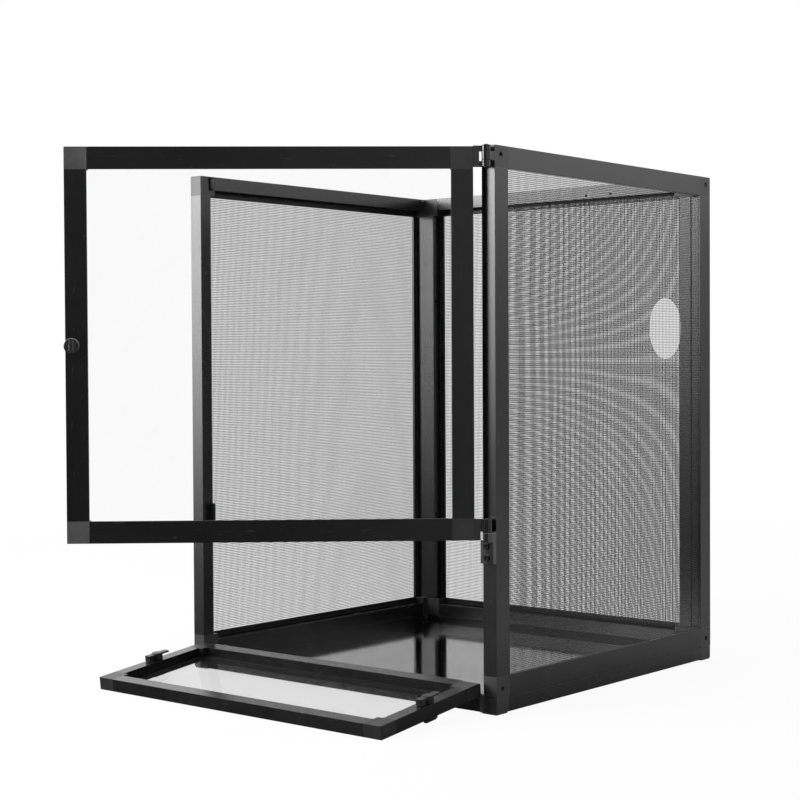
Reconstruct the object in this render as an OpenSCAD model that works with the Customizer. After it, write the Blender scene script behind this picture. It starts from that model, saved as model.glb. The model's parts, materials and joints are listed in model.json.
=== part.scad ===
// Reptile terrarium: a tall screen cage that stands on a low base with a tray,
// with a clear main door on side hinges and a clear drop door on the base.
// Millimetres. +Z up, front towards -Y. The origin is the middle of the tray's top.

/* [Cage] */
// Width over the side panels
cage_w = 457; // [300:1:900]
// Depth over the front posts and the back panel
cage_d = 440; // [300:1:900]
// Height of the cage's panels
cage_h = 576; // [450:1:1200]

/* [Frame section] */
// Face of a frame rail: tube, spline groove and flange
face_w = 23; // [21:0.5:32]
// Part of that face that is tube
tube_w = 16; // [14:0.5:18]
// Thickness of the cage's panels
panel_t = 17; // [16:0.5:24]
// Thickness of the two doors
door_t = 14; // [12:0.5:16]
// Wall of the extrusions
wall = 1.2; // [0.8:0.1:2]
// Thickness of the flange that carries mesh or pane
flange_t = 3; // [2.4:0.1:4]
// Width of the spline groove
groove_w = 2.4; // [1.8:0.1:3]
// Metal left under the spline groove
groove_skin = 0.9; // [0.5:0.1:1.2]
// Chamfer on the moulded corners' edges
chamfer = 0.6; // [0.2:0.1:1]

/* [Corner connectors] */
// Length of the tongue that goes into a rail
tongue_len = 14; // [8:0.5:30]
// Play of a tongue in its tube, each side
tongue_gap = 0.1; // [0.05:0.05:0.3]
// Width of the relief slot along a tongue
slot_w = 4; // [2:0.5:6]
// Depth of the relief slot along a tongue
slot_d = 3; // [1:0.5:4]
// Diameter of the screw recess on the side of a cage corner
recess_d = 6; // [4.5:0.1:8]
// Depth of the screw recess
recess_deep = 1; // [0.4:0.1:1.2]
// Diameter of the lock screw's hole in the corner
lock_d = 4.6; // [2.6:0.1:5]
// Lock screw from the panel's end
lock_in = 10.5; // [8:0.5:14]
// Lock screw from the panel's top or bottom
lock_up = 9.5; // [6:0.5:12]
// Width of the catch window inside a top corner
window_w = 9; // [4:0.5:12]
// Height of the catch window
window_h = 15.5; // [6:0.5:18]
// Catch window from the corner's edge
window_in = 1.5; // [1.5:0.1:4]
// Depth of the catch window, through to the socket
window_deep = 8; // [4:0.5:10]

/* [Mesh] */
// Thickness of the woven mesh
mesh_t = 0.6; // [0.4:0.1:1.2]
// Openings of the plain grid that stands for the weave, in each direction
mesh_cells = 12; // [4:1:12]
// Width of that grid's bars
mesh_bar = 1.2; // [0.6:0.1:3]
// Diameter of the cable port in the right-hand mesh
port_d = 72; // [30:1:120]
// Width of the bound edge round the port
port_rim = 1.5; // [1:0.1:4]
// Port's centre from the back of the cage
port_from_back = 99; // [70:1:160]
// Port's centre above the cage's lower edge
port_up = 390; // [100:1:500]

/* [Base] */
// Height of a base corner, with its foot
base_h = 17; // [15:0.5:26]
// Height of the feet under the rails
foot_h = 1.5; // [0.5:0.1:4]
// Inset of a foot from its corner's faces
foot_inset = 1; // [0:0.1:4]
// Side of a base corner
base_corner = 21; // [20:0.5:28]
// Width of a base rail
base_rail_w = 17; // [15:0.5:20]
// Step from a corner's top down to the rail's top
rail_step = 0.5; // [0:0.1:1.5]
// Thickness of the tray sheet
tray_t = 3; // [2:0.1:4]
// Rail's top above the tray's top
tray_drop = 4.9; // [2:0.1:5.5]
// Depth of the tray's seat in the rails
tray_seat = 5; // [3:0.5:6]
// Thickness of the tray's rebated edge in that seat
tray_edge_t = 2; // [1:0.1:2.5]

/* [Plugs] */
// Inset of a plug from the cage's outer faces
plug_inset = 2; // [1.9:0.1:2.5]
// Width of a plug
plug_w = 11; // [8:0.5:12]
// Depth of a plug's tall part
plug_tall_d = 8; // [5:0.5:9]
// Depth of the whole plug
plug_d = 15.5; // [12:0.5:17]
// Height of a plug's tall part
plug_h = 21; // [17:0.5:21]
// Height of its step
plug_step_h = 15; // [13:0.5:16]
// Radius of a plug's top edges
plug_r = 1.8; // [0.5:0.1:2.5]
// Play of a plug in its socket, each side
plug_gap = 0.3; // [0.1:0.1:0.5]
// Diameter of the pilot hole for a lock screw
pilot_d = 2.5; // [1.5:0.1:3]

/* [Main door] */
// Gap between the main door and each side panel
main_side_gap = 1; // [0.5:0.1:3]
// Main door's top edge below the cage's top
main_top_gap = 1.5; // [1:0.5:6]
// Main door's lower edge above the cage's lower edge
main_up = 166; // [120:1:400]
// Doors' outer face in front of the posts
door_proud = 3; // [2.8:0.1:5]
// Angle at which the main door stands open
open_angle = 42; // [0:1:120]
// Hinge axis from the cage's right face
hinge_in = 5; // [4.9:0.1:8]
// Hinge axis in front of the posts
hinge_out = 8.2; // [5.2:0.1:9]
// Radius of the hinge knuckles
knuckle_r = 4.7; // [3.5:0.1:4.8]
// Thickness of the door's hinge leaf
leaf_t = 2.6; // [1.5:0.1:2.7]
// Gap beside and between the hinge's knuckles
knuckle_gap = 0.5; // [0.2:0.1:0.6]
// Opening between the door's leaf and the cage's knuckle
leaf_clear = 2; // [1:0.1:3]
// Width and depth of the groove between a door corner and its leaf
leaf_groove = 0.8; // [0.4:0.1:1.2]
// Height of each outer knuckle of the top hinge
top_knuckle_h = 6; // [4:0.5:8]
// Height of the whole top hinge
top_hinge_h = 22; // [18:0.5:26]
// Top knuckle above the door's top edge
knuckle_rise = 0.7; // [0:0.1:0.7]
// Height of the door's knuckle on the lower hinge
low_knuckle_h = 13.5; // [8:0.5:20]
// Height of the bracket's knuckle on the lower hinge
bracket_knuckle_h = 10; // [8:0.5:14]
// Bracket's knuckle below the door's lower edge
bracket_drop = 1.5; // [0:0.5:4]
// Length of the bracket's plate below the door
bracket_len = 24.5; // [18:0.5:34]
// Thickness of the bracket's plate
bracket_t = 5; // [1.5:0.1:5.5]

/* [Drop door] */
// Gap between the drop door and each side panel
drop_side_gap = 1.5; // [0.5:0.1:3]
// Gap under the closed drop door
drop_gap = 0.3; // [0.3:0.1:1]
// Gap between the two closed doors
doors_gap = 4; // [2:0.5:12]
// Its hinge axis in front of its outer face
drop_axis_out = 0.2; // [0:0.1:0.6]
// Its hinge axis above its lower edge
drop_axis_up = 1.4; // [1:0.1:2]
// Radius of its barrels
barrel_r = 2.4; // [2.3:0.1:2.6]
// Length of a barrel
barrel_len = 12; // [8:0.5:20]
// Thickness of the ear that holds a pin
ear_t = 5; // [3:0.5:8]
// Gap between the door and an ear
ear_gap = 1; // [0.3:0.1:2]
// Radius of an ear round its pin
ear_r = 3.1; // [2.5:0.1:3.2]
// Radius of the round on its lower corners
drop_round = 3; // [1:0.5:4]
// Thickness of the clear panes
pane_t = 2; // [1.5:0.1:3]

/* [Pins and screws] */
// Diameter of the hinge pins
pin_d = 3; // [2:0.1:3]
// Diameter of a hinge pin's head
pin_head_d = 4.8; // [3.5:0.1:6]
// Height of a hinge pin's head
pin_head_h = 0.8; // [0.5:0.1:0.8]
// Play of a pin in a moving knuckle, each side
pin_gap = 0.05; // [0.02:0.01:0.1]
// Diameter of a screw's shank
screw_d = 3; // [2:0.1:3]
// Diameter of a screw's head
screw_head_d = 6.4; // [4:0.1:6.5]
// Height of a screw's head
screw_head_h = 1.6; // [0.8:0.1:2]
// Length of the short screws
screw_len = 8; // [5:0.5:12]
// Panel screws from the panel's top and bottom
panel_screw_in = 140; // [60:1:180]

/* [Turn latches] */
// Latch's axis from the door's edge
latch_in = 6.6; // [6.5:0.1:9]
// Height of the main latch above the cage's lower edge
main_latch_up = 370; // [220:1:520]
// Height of the drop door's latches above its lower edge
drop_latch_up = 79; // [45:1:110]
// Diameter of the knob
knob_d = 16.5; // [12:0.5:18]
// Thickness of the knob's disc
knob_t = 2.2; // [1.5:0.1:3]
// Height of the finger bar on the knob
finger_h = 3; // [2:0.1:4]
// Width of the finger bar
finger_w = 4.2; // [2.5:0.1:6]
// Length of the finger bar
finger_len = 15; // [8:0.5:15.5]
// Diameter of the latch's shaft
shaft_d = 5; // [4:0.1:6]
// Half length of the arm
arm_half = 15.5; // [13:0.5:20]
// Width of the arm
arm_w = 8; // [6:0.5:8.5]
// Thickness of the arm
arm_t = 2; // [1.5:0.1:3]
// Arm's gap behind the post's tube when latched
arm_gap = 0.4; // [0.3:0.1:1]
// Diameter of the arm's hub
hub_d = 12.5; // [8.5:0.1:12.8]
// Height of the hub above the arm
hub_rise = 0.8; // [0.8:0.1:3]
// Length of the block on the arm's end
block_len = 7; // [4:0.5:9]

/* [Door stop] */
// Height of the stop plate
stop_h = 36; // [20:1:60]
// Reach of the stop's tab into the doorway
stop_reach = 8; // [5:0.5:10]
// Thickness of the stop plate
stop_t = 2; // [1.5:0.1:2.5]
// Stop's gap behind the closed doors
stop_gap = 0.3; // [0.2:0.1:0.6]

/* [Accessory holes] */
// Spacing of the two holes in the back's top rail
hook_gap = 37; // [20:1:80]
// Middle of the two holes from the cage's centre line
hook_x = 76.5; // [0:0.5:120]
// Holes below the top edge
hook_down = 12; // [5:0.5:12]
// Diameter of the holes
hook_d = 3.2; // [2:0.1:4]

/* [Hidden] */
$fn = 48;
black = [0.07, 0.07, 0.075];
plastic = [0.13, 0.13, 0.135];
steel = [0.45, 0.45, 0.47];
clear = [0.85, 0.9, 0.92, 0.35];
mesh_colour = [0.1, 0.1, 0.1, 0.6];
tray_colour = [0.72, 0.72, 0.73];

rail_top = base_h - rail_step;
tray_top = rail_top - tray_drop;
tray_z = tray_top - tray_t;
cage_z = base_h;
cage_top = cage_z + cage_h;
seam = 0.1;
front_y = -cage_d / 2;
inner_x = cage_w / 2 - panel_t;
back_w = cage_w - 2 * panel_t;
infill_edge = tube_w + groove_w;
cord_r = groove_w / 2;

main_w = cage_w - 2 * (panel_t + main_side_gap);
main_h = cage_h - main_up - main_top_gap;
main_x = -main_w / 2;
main_z = cage_z + main_up;
door_y = front_y - door_proud;
door_back = door_y + door_t;
hinge_x = cage_w / 2 - hinge_in;
hinge_y = front_y - hinge_out;
top_hinge_z = main_z + main_h + knuckle_rise - top_hinge_h;
low_knuckle_z = main_z - bracket_drop + bracket_knuckle_h + knuckle_gap;

drop_w = cage_w - 2 * (panel_t + drop_side_gap);
drop_h = main_up - drop_gap - doors_gap;
drop_x = -drop_w / 2;
drop_z = base_h + drop_gap;
drop_axis_y = door_y - drop_axis_out;
drop_axis_z = drop_z + drop_axis_up;
drop_reach = drop_h - drop_axis_up;
drop_diag = sqrt(drop_reach * drop_reach + drop_axis_out * drop_axis_out);
fold_angle = atan2(drop_axis_out, drop_reach) + acos(-drop_axis_z / drop_diag);
ear_x = drop_w / 2 + ear_gap;
pin_reach = barrel_len + ear_gap + ear_t;

arm_back = front_y + tube_w + arm_gap - door_back;
stop_z = drop_z + drop_h + (main_z - drop_z - drop_h) / 2 - stop_h / 2;

// ---- Places: the parts are drawn above the table, then lowered to the tray's top ----

module from_tray() {
    translate([0, 0, -tray_top]) children();
}

// A panel is drawn with its outer face at y = 0, its lower left corner at the origin.
module at_left() {
    from_tray() translate([-cage_w / 2, cage_d / 2, cage_z]) rotate([0, 0, -90]) children();
}

module at_right() {
    from_tray() translate([cage_w / 2, front_y, cage_z]) rotate([0, 0, 90]) children();
}

module at_back() {
    from_tray() translate([back_w / 2, cage_d / 2, cage_z]) rotate([0, 0, 180]) children();
}

// The main door, turned about its hinge to where it stands open.
module at_main() {
    from_tray()
        translate([hinge_x, hinge_y, 0])
            rotate([0, 0, open_angle])
                translate([main_x - hinge_x, door_y - hinge_y, main_z])
                    children();
}

// The drop door, folded forwards until its free edge lies on the table.
module at_drop() {
    from_tray()
        translate([drop_x, drop_axis_y, drop_axis_z])
            rotate([fold_angle, 0, 0])
                translate([0, drop_axis_out, -drop_axis_up])
                    children();
}

// Copies for the right-hand side or the upper edge of a panel.
module flip_x(width) {
    translate([width, 0, 0]) mirror([1, 0, 0]) children();
}

module flip_z(height) {
    translate([0, 0, height]) mirror([0, 0, 1]) children();
}

module both_ends(width) {
    children();
    flip_x(width) children();
}

// A corner of the base: x and y grow inwards from the corner.
module at_base_corner(side, end) {
    from_tray()
        translate([side * cage_w / 2, end * cage_d / 2, 0])
            mirror([side > 0 ? 1 : 0, 0, 0])
                mirror([0, end > 0 ? 1 : 0, 0])
                    children();
}

// ---- Frame extrusions ----

// Section of a rail: x across the face from the outer edge, y in from the outer face.
module rail_section(t) {
    difference() {
        union() {
            square([tube_w, t]);
            square([face_w, flange_t]);
        }
        translate([wall, wall]) square([tube_w - 2 * wall, t - 2 * wall]);
        translate([tube_w, groove_skin]) square([groove_w, flange_t]);
    }
}

module upright(height, t) {
    translate([0, 0, face_w]) linear_extrude(height - 2 * face_w) rail_section(t);
}

module crossbar(width, t) {
    translate([width - face_w, 0, 0])
        rotate([0, -90, 0])
            linear_extrude(width - 2 * face_w)
                rail_section(t);
}

// ---- Corner connectors ----

module tongue_section(w, d) {
    difference() {
        square([w, d]);
        translate([(w - slot_w) / 2, 0]) square([slot_w, slot_d]);
        translate([(w - slot_w) / 2, d - slot_d]) square([slot_w, slot_d]);
    }
}

// A tongue for a tube whose hollow is w by d, standing up from z = 0.
module tongue(w, d) {
    translate([wall + tongue_gap, wall + tongue_gap, 0])
        linear_extrude(tongue_len)
            tongue_section(w - 2 * tongue_gap, d - 2 * tongue_gap);
}

// Lays what stands along z down along x.
module laid() {
    mirror([0, 0, 1]) rotate([0, 90, 0]) children();
}

// A flat outline in x and z, as thick as the panel.
module slab(t) {
    translate([0, t, 0]) rotate([90, 0, 0]) linear_extrude(t) children();
}

module connector(t) {
    slab(t)
        polygon([[chamfer, 0], [face_w, 0], [face_w, face_w], [0, face_w], [0, chamfer]]);
    translate([0, 0, face_w]) tongue(tube_w - 2 * wall, t - 2 * wall);
    translate([face_w, 0, 0]) laid() tongue(tube_w - 2 * wall, t - 2 * wall);
}

// Socket for a base plug, with its lock screw's hole; the plug's width runs along y.
module socket_cut() {
    low = plug_inset - plug_gap;
    width = plug_w + 2 * plug_gap;
    translate([low, low, 0]) {
        cube([plug_d + 2 * plug_gap, width, plug_step_h + plug_gap]);
        cube([plug_tall_d + 2 * plug_gap, width, plug_h + plug_gap]);
    }
    translate([lock_in, 0, lock_up]) rotate([-90, 0, 0]) {
        cylinder(d = recess_d, h = recess_deep);
        cylinder(d = lock_d, h = plug_inset);
    }
}

module socket_connector() {
    difference() {
        connector(panel_t);
        socket_cut();
    }
}

// Upper corner: the same moulding with a catch window from its inner face to the socket.
module window_connector() {
    difference() {
        socket_connector();
        translate([face_w - wall - window_w, panel_t - window_deep, window_in])
            cube([window_w, window_deep + seam, window_h]);
    }
}

// ---- Mesh, panes and the cords that hold them ----

// Outline of a sheet that lies on the flanges and stops at the corner connectors.
module infill_outline(width, height) {
    translate([infill_edge, face_w + seam])
        square([width - 2 * infill_edge, height - 2 * face_w - 2 * seam]);
    translate([face_w + seam, infill_edge])
        square([width - 2 * face_w - 2 * seam, height - 2 * infill_edge]);
}

// Openings of the mesh's grid, over what the frame leaves open.
module mesh_openings(width, height) {
    step_x = (width - 2 * face_w) / mesh_cells;
    step_z = (height - 2 * face_w) / mesh_cells;
    for (i = [0:mesh_cells - 1], j = [0:mesh_cells - 1]) {
        translate([face_w + i * step_x + mesh_bar / 2, face_w + j * step_z + mesh_bar / 2])
            square([step_x - mesh_bar, step_z - mesh_bar]);
    }
}

module mesh_outline(width, height) {
    difference() {
        infill_outline(width, height);
        mesh_openings(width, height);
    }
}

// The right-hand mesh, bound round the cable port.
module port_mesh_outline(width, height) {
    difference() {
        union() {
            mesh_outline(width, height);
            translate([width - port_from_back, port_up]) circle(d = port_d + 2 * port_rim);
        }
        translate([width - port_from_back, port_up]) circle(d = port_d);
    }
}

// Lays a sheet's outline on the flanges.
module on_flanges(t) {
    translate([0, flange_t, 0]) slab(t) children();
}

module cord(length) {
    translate([tube_w + cord_r, groove_skin + cord_r, face_w])
        cylinder(r = cord_r, h = length - 2 * face_w);
}

module splines(width, height) {
    both_ends(width) cord(height);
    for (up = [0, 1]) {
        translate([0, 0, up * height]) mirror([0, 0, up]) laid() cord(width);
    }
}

// ---- Pins, screws and knuckles ----

// A screw with its head's underside at z = 0 and its shank going down.
module screw(length) {
    translate([0, 0, -length]) cylinder(d = screw_d, h = length);
    difference() {
        cylinder(d = screw_head_d, h = screw_head_h);
        translate([0, 0, screw_head_h / 2]) cylinder(d = screw_head_d / 2, h = screw_head_h, $fn = 6);
    }
}

module pin_bore(z, height) {
    translate([0, 0, z - seam]) cylinder(d = pin_d + 2 * pin_gap, h = height + 2 * seam);
}

// ---- Base ----

module base_section() {
    difference() {
        square([base_rail_w, rail_top - foot_h]);
        translate([wall, wall])
            square([base_rail_w - tray_seat - 2 * wall, rail_top - foot_h - 2 * wall]);
        translate([base_rail_w - tray_seat, tray_z - foot_h]) square([tray_seat, tray_edge_t]);
    }
}

// A base rail along x, its outer face at y = 0.
module base_rail(length) {
    translate([-length / 2 + base_corner, 0, foot_h])
        rotate([90, 0, 90])
            linear_extrude(length - 2 * base_corner)
                base_section();
}

module base_front_rail() {
    color(black) from_tray() translate([0, front_y, 0]) base_rail(cage_w);
}

module base_rear_rail() {
    color(black) from_tray() translate([0, cage_d / 2, 0]) rotate([0, 0, 180]) base_rail(cage_w);
}

module base_left_rail() {
    color(black) from_tray() translate([-cage_w / 2, 0, 0]) rotate([0, 0, -90]) base_rail(cage_d);
}

module base_right_rail() {
    color(black) from_tray() translate([cage_w / 2, 0, 0]) rotate([0, 0, 90]) base_rail(cage_d);
}

// Points of a quarter round about c, from angle a.
function quarter(c, r, a) = [for (i = [0:6]) c + r * [cos(a + 15 * i), sin(a + 15 * i)]];

// Side of a plug: a tall part at the corner and a lower step behind it.
module plug_outline() {
    top = plug_h - plug_r;
    step = plug_step_h - plug_r;
    polygon(concat(
        [[0, -seam]],
        [[plug_d, -seam]],
        quarter([plug_d - plug_r, step], plug_r, 0),
        [[plug_tall_d, plug_step_h]],
        quarter([plug_tall_d - plug_r, top], plug_r, 0),
        quarter([plug_r, top], plug_r, 90)));
}

module plug() {
    translate([plug_inset, plug_inset, base_h])
        difference() {
            rotate([90, 0, 90]) linear_extrude(plug_w) plug_outline();
            translate([-seam, lock_in - plug_inset, lock_up])
                rotate([0, 90, 0])
                    cylinder(d = pilot_d, h = plug_w + 2 * seam);
        }
}

// Tongue into a base rail, standing up from z = 0 with the rail's outer face at y = 0.
module base_tongue() {
    w = base_rail_w - tray_seat - 2 * wall - 2 * tongue_gap;
    d = rail_top - foot_h - 2 * wall - 2 * tongue_gap;
    translate([base_corner, wall + tongue_gap, foot_h + wall + tongue_gap])
        rotate([90, 0, 90])
            linear_extrude(tongue_len)
                tongue_section(w, d);
}

module base_corner_body() {
    translate([0, 0, foot_h])
        linear_extrude(base_h - foot_h)
            polygon([[chamfer, 0], [base_corner, 0], [base_corner, base_corner],
                     [0, base_corner], [0, chamfer]]);
    translate([foot_inset, foot_inset, 0])
        cube([base_corner - 2 * foot_inset, base_corner - 2 * foot_inset, foot_h + seam]);
    base_tongue();
    mirror([1, -1, 0]) base_tongue();
    plug();
}

// Side of an ear: round about the pin, with a foot on the corner's front face.
module ear_outline() {
    axis = [drop_axis_y - front_y, drop_axis_z];
    low = foot_h + wall;
    translate(axis) circle(r = ear_r);
    translate([axis[0] - ear_r, low]) square([ear_r - axis[0], axis[1] - low]);
    translate([-seam, low]) square([2 * seam, base_h - wall - low]);
}

// Front corner: carries the ear for one of the drop door's pins.
module base_front_corner() {
    x = cage_w / 2 - ear_x - ear_t;
    difference() {
        union() {
            base_corner_body();
            translate([x, 0, 0]) rotate([90, 0, 90]) linear_extrude(ear_t) ear_outline();
        }
        translate([x - seam, drop_axis_y - front_y, drop_axis_z])
            rotate([0, 90, 0])
                cylinder(d = pin_d, h = ear_t + 2 * seam);
    }
}

module base_corner_front_left() {
    color(plastic) at_base_corner(-1, -1) base_front_corner();
}

module base_corner_front_right() {
    color(plastic) at_base_corner(1, -1) base_front_corner();
}

module base_corner_rear_left() {
    color(plastic) at_base_corner(-1, 1) base_corner_body();
}

module base_corner_rear_right() {
    color(plastic) at_base_corner(1, 1) base_corner_body();
}

// Outline of the tray, notched at the base's corners.
module tray_outline(inset) {
    stop = base_corner + seam;
    square([cage_w - 2 * inset, cage_d - 2 * stop], center = true);
    square([cage_w - 2 * stop, cage_d - 2 * inset], center = true);
}

module tray_sheet() {
    color(tray_colour)
        translate([0, 0, -tray_t]) {
            linear_extrude(tray_edge_t) tray_outline(base_rail_w - tray_seat + seam);
            linear_extrude(tray_t) tray_outline(base_rail_w + seam);
        }
}

module drop_door_pins() {
    color(steel)
        from_tray()
            for (side = [0, 1]) {
                mirror([side, 0, 0])
                    translate([drop_w / 2 - barrel_len, drop_axis_y, drop_axis_z])
                        rotate([0, 90, 0])
                            cylinder(d = pin_d, h = pin_reach);
            }
}

// ---- Cage: left panel ----

module left_front_post() {
    color(black) at_left() flip_x(cage_d) side_front_post(true);
}

module left_rear_post() {
    color(black) at_left() side_rear_post();
}

module left_top_rail() {
    color(black) at_left() flip_z(cage_h) crossbar(cage_d, panel_t);
}

module left_bottom_rail() {
    color(black) at_left() crossbar(cage_d, panel_t);
}

module left_top_corners() {
    color(plastic) at_left() flip_z(cage_h) both_ends(cage_d) window_connector();
}

module left_bottom_corners() {
    color(plastic) at_left() both_ends(cage_d) socket_connector();
}

module left_mesh() {
    color(mesh_colour) at_left() on_flanges(mesh_t) mesh_outline(cage_d, cage_h);
}

// ---- Cage: right panel ----

module right_front_post() {
    color(black) at_right() side_front_post(false);
}

module right_rear_post() {
    color(black) at_right() flip_x(cage_d) side_rear_post();
}

module right_top_rail() {
    color(black) at_right() flip_z(cage_h) crossbar(cage_d, panel_t);
}

module right_bottom_rail() {
    color(black) at_right() crossbar(cage_d, panel_t);
}

module right_top_corners() {
    color(plastic) {
        at_right() flip_z(cage_h) flip_x(cage_d) window_connector();
        top_hinge_corner();
    }
}

module right_bottom_corners() {
    color(plastic) at_right() both_ends(cage_d) socket_connector();
}

module right_mesh() {
    color(mesh_colour) at_right() on_flanges(mesh_t) port_mesh_outline(cage_d, cage_h);
}

// Holes in the posts for the screws of the bracket, of the stop and of the back panel.
bracket_screw_z = [for (i = [1, 3]) main_up - bracket_len + i * bracket_len / 4];
stop_screw_z = [for (i = [1, 3]) stop_z - cage_z + i * stop_h / 4];
panel_screw_z = [panel_screw_in, cage_h - panel_screw_in];

module side_front_post(with_stop) {
    difference() {
        upright(cage_h, panel_t);
        for (z = with_stop ? stop_screw_z : bracket_screw_z) {
            translate([with_stop ? tube_w / 2 : -seam, panel_t / 2, z])
                rotate([0, 90, 0])
                    cylinder(d = screw_d, h = tube_w / 2 + seam);
        }
    }
}

module side_rear_post() {
    difference() {
        upright(cage_h, panel_t);
        for (z = panel_screw_z) {
            translate([panel_t / 2, panel_t / 2, z])
                rotate([-90, 0, 0])
                    cylinder(d = screw_d, h = panel_t);
        }
    }
}

// Corner above the main door's hinge, with the middle knuckle and its arm.
module top_hinge_corner() {
    z = top_hinge_z + top_knuckle_h + knuckle_gap;
    height = top_hinge_h - 2 * top_knuckle_h - 2 * knuckle_gap;
    difference() {
        union() {
            at_right() flip_z(cage_h) window_connector();
            cage_knuckle(z, height);
        }
        from_tray() translate([hinge_x, hinge_y, z - seam]) cylinder(d = pin_d, h = height + 2 * seam);
    }
}

// A knuckle on the cage, with its arm back to the post's front face.
module cage_knuckle(z, height) {
    from_tray() {
        translate([hinge_x, hinge_y, z]) cylinder(r = knuckle_r, h = height);
        translate([hinge_x - knuckle_r, hinge_y, z]) cube([knuckle_r + hinge_in, hinge_out, height]);
    }
}

// ---- Cage: back panel ----

module back_stile() {
    difference() {
        upright(cage_h, panel_t);
        for (z = panel_screw_z) {
            translate([-seam, panel_t / 2, z])
                rotate([0, 90, 0])
                    cylinder(d = screw_d, h = tube_w + 2 * seam);
        }
    }
}

module back_left_stile() {
    color(black) at_back() flip_x(back_w) back_stile();
}

module back_right_stile() {
    color(black) at_back() back_stile();
}

module back_top_rail() {
    color(black)
        at_back()
            difference() {
                flip_z(cage_h) crossbar(back_w, panel_t);
                for (side = [-1, 1]) {
                    translate([back_w / 2 - hook_x - side * hook_gap / 2, -seam, cage_h - hook_down])
                        rotate([-90, 0, 0])
                            cylinder(d = hook_d, h = panel_t + 2 * seam);
                }
            }
}

module back_bottom_rail() {
    color(black) at_back() crossbar(back_w, panel_t);
}

module back_top_corners() {
    color(plastic) at_back() flip_z(cage_h) both_ends(back_w) connector(panel_t);
}

module back_bottom_corners() {
    color(plastic) at_back() both_ends(back_w) connector(panel_t);
}

module back_mesh() {
    color(mesh_colour) at_back() on_flanges(mesh_t) mesh_outline(back_w, cage_h);
}

module mesh_splines() {
    color(black) {
        at_left() splines(cage_d, cage_h);
        at_right() splines(cage_d, cage_h);
        at_back() splines(back_w, cage_h);
    }
}

// ---- Cage: bracket, stop, pins and screws ----

// Plate on the right post's front face, with the lower hinge's fixed knuckle.
module lower_hinge_bracket() {
    left = inner_x + knuckle_gap;
    arm_left = hinge_x - knuckle_r;
    right = cage_w / 2;
    top = bracket_knuckle_h - bracket_drop;
    color(plastic)
        difference() {
            union() {
                from_tray()
                    translate([0, front_y, main_z])
                        rotate([90, 0, 0])
                            linear_extrude(bracket_t)
                                polygon([[left, -bracket_len], [right, -bracket_len], [right, top],
                                         [arm_left, top], [arm_left, -knuckle_gap], [left, -knuckle_gap]]);
                cage_knuckle(main_z - bracket_drop, bracket_knuckle_h);
            }
            from_tray() {
                translate([hinge_x, hinge_y, main_z - bracket_drop - seam])
                    cylinder(d = pin_d, h = bracket_knuckle_h + 2 * seam);
                for (z = bracket_screw_z) {
                    translate([cage_w / 2 - panel_t / 2, front_y + seam, cage_z + z])
                        rotate([90, 0, 0])
                            cylinder(d = screw_d, h = bracket_t + 2 * seam);
                }
            }
        }
}

// Folded plate behind the left post's tube; its tab stops both doors.
module door_stop_plate() {
    root = [-inner_x, front_y + tube_w];
    fold_x = root[0] + stop_gap;
    tab_x = root[0] + stop_reach;
    tab_y = door_back + stop_gap;
    leg_x = root[0] - panel_t + flange_t + stop_t;
    color(black)
        from_tray()
            difference() {
                translate([0, 0, stop_z])
                    linear_extrude(stop_h)
                        polygon([[leg_x, root[1]], [fold_x, root[1]], [fold_x, tab_y], [tab_x, tab_y],
                                 [tab_x, tab_y + stop_t], [fold_x + stop_t, tab_y + stop_t],
                                 [fold_x + stop_t, root[1] + stop_t], [leg_x, root[1] + stop_t]]);
                for (z = stop_screw_z) {
                    translate([-cage_w / 2 + panel_t / 2, root[1] - seam, cage_z + z])
                        rotate([-90, 0, 0])
                            cylinder(d = screw_d, h = stop_t + 2 * seam);
                }
            }
}

// A pin from z = low with a head at each end.
module hinge_pin(low, height) {
    translate([hinge_x, hinge_y, low]) {
        cylinder(d = pin_d, h = height);
        translate([0, 0, -pin_head_h]) cylinder(d = pin_head_d, h = pin_head_h);
        translate([0, 0, height]) cylinder(d = pin_head_d, h = pin_head_h);
    }
}

module hinge_pins() {
    color(steel)
        from_tray() {
            hinge_pin(top_hinge_z, top_hinge_h);
            hinge_pin(main_z - bracket_drop, bracket_knuckle_h + knuckle_gap + low_knuckle_h);
        }
}

module cage_screws() {
    color(steel)
        from_tray() {
            for (z = bracket_screw_z) {
                translate([cage_w / 2 - panel_t / 2, front_y - bracket_t, cage_z + z])
                    rotate([90, 0, 0])
                        screw(screw_len);
            }
            for (z = stop_screw_z) {
                translate([-cage_w / 2 + panel_t / 2, front_y + tube_w + stop_t, cage_z + z])
                    rotate([-90, 0, 0])
                        screw(screw_len);
            }
            for (z = panel_screw_z, side = [0, 1]) {
                mirror([side, 0, 0])
                    translate([back_w / 2 - tube_w, cage_d / 2 - panel_t / 2, cage_z + z])
                        rotate([0, -90, 0])
                            screw(tube_w + screw_len / 2);
            }
        }
}

// ---- Main door ----

// Stile with the two holes for a turn latch's shaft.
module latch_stile(height, up) {
    difference() {
        upright(height, door_t);
        translate([latch_in, -seam, up])
            rotate([-90, 0, 0])
                cylinder(d = shaft_d + 2 * pin_gap, h = door_t + 2 * seam);
    }
}

module main_free_stile() {
    color(black) at_main() latch_stile(main_h, main_latch_up - main_up);
}

module main_hinge_stile() {
    color(black) at_main() flip_x(main_w) upright(main_h, door_t);
}

module main_top_rail() {
    color(black) at_main() flip_z(main_h) crossbar(main_w, door_t);
}

module main_bottom_rail() {
    color(black) at_main() crossbar(main_w, door_t);
}

module main_free_corners() {
    color(plastic)
        at_main() {
            connector(door_t);
            flip_z(main_h) connector(door_t);
        }
}

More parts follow.
